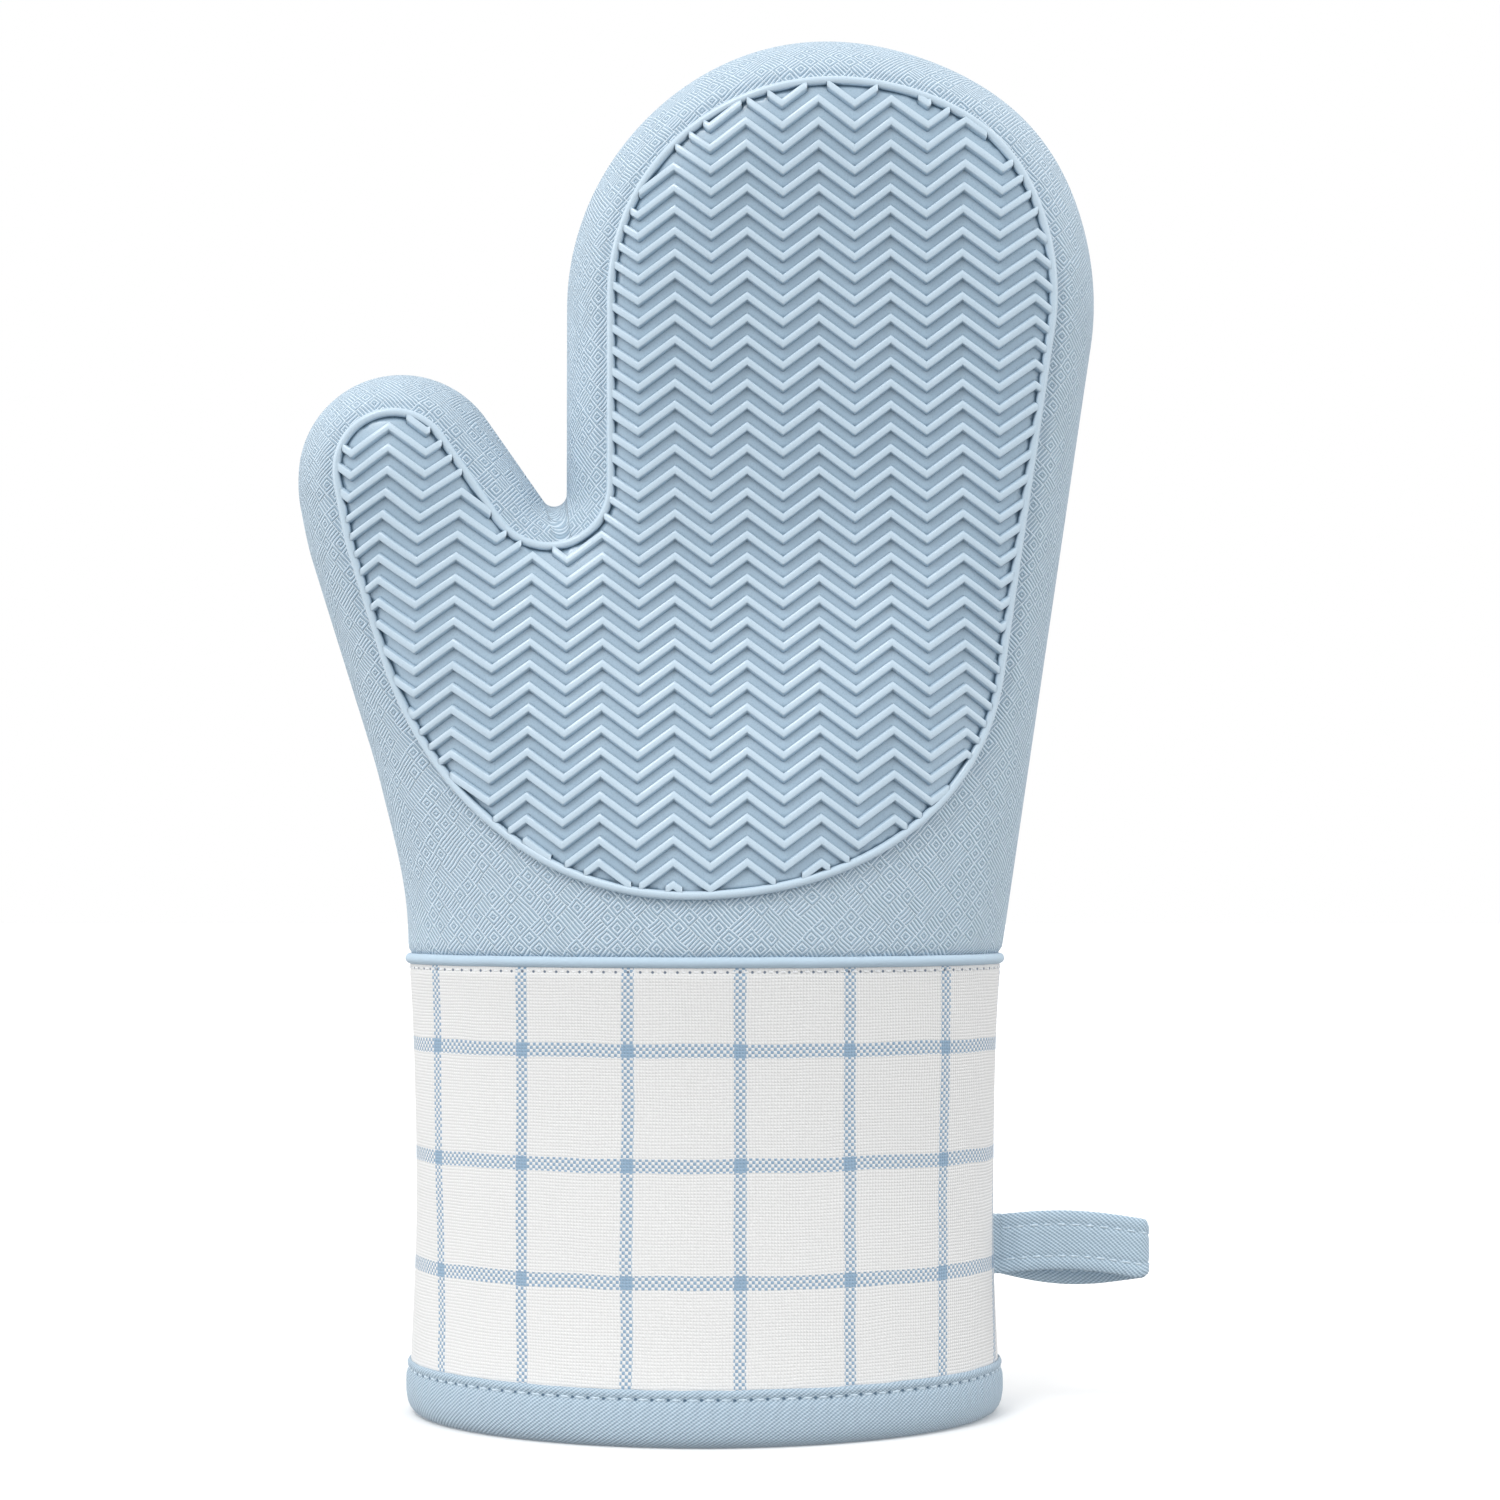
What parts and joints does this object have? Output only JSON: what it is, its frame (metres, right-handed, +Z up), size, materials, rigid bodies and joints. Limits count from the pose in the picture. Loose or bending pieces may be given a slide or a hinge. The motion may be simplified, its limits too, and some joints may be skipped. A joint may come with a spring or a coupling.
{
  "type": "oven mitt",
  "caption": "Padded cloth oven mitt with ribbed silicone grips on both sides, a windowpane check cuff with piping and a bound hem, and a hanging loop.",
  "frame": {"origin": "centre of the cuff's opening, on the plane that the hem stands on", "axes": "+Z up from the cuff to the fingertips, -Y out of the palm side, -X towards the thumb, +X towards the hanging loop"},
  "size_m": [0.2077, 0.1144, 0.3299],
  "materials": {
    "hand_cloth": "matt light blue cloth with a fine bias cross-hatch weave",
    "silicone": "satin light blue moulded silicone",
    "lining_cotton": "plain off-white cotton",
    "padding": "white felted fibre padding",
    "piping_core": "twisted cotton cord",
    "piping_cloth": "smooth light blue cotton",
    "check_cloth": "white plain weave with a light blue windowpane check",
    "hem_tape": "light blue twill bias tape",
    "loop_tape": "light blue twill bias tape",
    "thread": "light blue sewing thread"
  },
  "bodies": {
    "hand_and_cuff": {"palm_side_shell": "hand_cloth", "back_side_shell": "hand_cloth", "palm_grip_panel": "silicone", "back_grip_panel": "silicone", "palm_side_lining": "lining_cotton", "back_side_lining": "lining_cotton", "hand_seam_thread": "thread", "palm_padding_front": "padding", "palm_padding_back": "padding", "piping_cord": "piping_core", "piping_cover": "piping_cloth", "cuff_cloth_front": "check_cloth", "cuff_cloth_back": "check_cloth", "cuff_padding_front": "padding", "cuff_padding_back": "padding", "cuff_lining_front": "lining_cotton", "cuff_lining_back": "lining_cotton", "cuff_side_threads": "thread", "cuff_topstitching": "thread", "hem_binding": "hem_tape", "hem_stitching": "thread", "loop_ends": "loop_tape", "loop_tack_thread": "thread"},
    "fingers": {"finger_padding_front": "padding", "finger_padding_back": "padding"},
    "thumb": {"thumb_padding_front": "padding", "thumb_padding_back": "padding"},
    "loop": {"hang_loop": "loop_tape", "loop_stitching": "thread"}
  },
  "joints": [
    {"name": "finger_fold", "type": "hinge", "parent": "hand_and_cuff", "child": "fingers", "pos_m": [0.03, 0, 0.238], "axis": [1, 0, 0], "range_deg": [-40, 40], "stiffness_Nm_per_rad": 0.6, "deforming": ["palm_side_shell", "back_side_shell", "palm_grip_panel", "back_grip_panel", "palm_side_lining", "back_side_lining", "hand_seam_thread"]},
    {"name": "thumb_fold", "type": "hinge", "parent": "hand_and_cuff", "child": "thumb", "pos_m": [-0.0366, 0, 0.21768], "axis": [0.4889, 0, 0.8723], "range_deg": [-35, 35], "stiffness_Nm_per_rad": 0.3, "deforming": ["palm_side_shell", "back_side_shell", "palm_grip_panel", "back_grip_panel", "palm_side_lining", "back_side_lining", "hand_seam_thread"]},
    {"name": "loop_swing", "type": "hinge", "parent": "hand_and_cuff", "child": "loop", "pos_m": [0.0712, 0, 0.0395], "axis": [0, 0, 1], "range_deg": [-50, 50], "stiffness_Nm_per_rad": 0.004}
  ]
}
